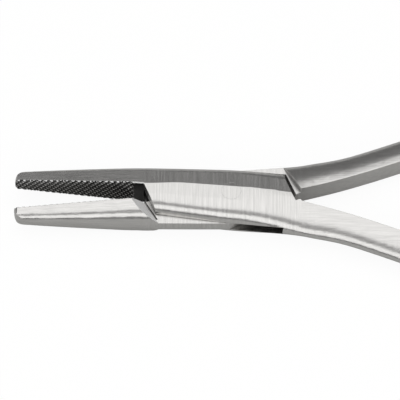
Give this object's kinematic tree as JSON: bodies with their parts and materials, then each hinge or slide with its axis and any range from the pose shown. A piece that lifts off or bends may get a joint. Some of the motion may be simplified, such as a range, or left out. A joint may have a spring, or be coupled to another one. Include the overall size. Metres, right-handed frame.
{
  "type": "needle-holding pliers",
  "caption": "Needle-holding pliers with narrow jaws, a box lock with a flush pin, bowed handles opened by leaf springs, and a ratchet at the handle ends.",
  "frame": {"origin": "on the pivot axis, in the plane that the pliers lie on", "axes": "+X from the jaws towards the ends of the handles, +Y towards the jaw of the box half, +Z along the pivot, up from the resting plane"},
  "size_m": [0.1398, 0.0458, 0.006],
  "materials": {
    "steel": "satin",
    "spring_steel": "satin"
  },
  "bodies": {
    "box_body": {"box_half": "steel", "pivot_pin": "steel", "lower_spring": "spring_steel", "lower_spring_screw": "steel"},
    "tongue_body": {"tongue_half": "steel", "upper_spring": "spring_steel", "upper_spring_screw": "steel"}
  },
  "joints": [
    {"name": "jaw_pivot", "type": "hinge", "parent": "box_body", "child": "tongue_body", "pos_m": [0, 0, 0.00298], "axis": [0, 0, 1], "range_deg": [-8, 7], "stiffness_Nm_per_rad": 0.55, "deforming": ["upper_spring", "lower_spring"]}
  ]
}
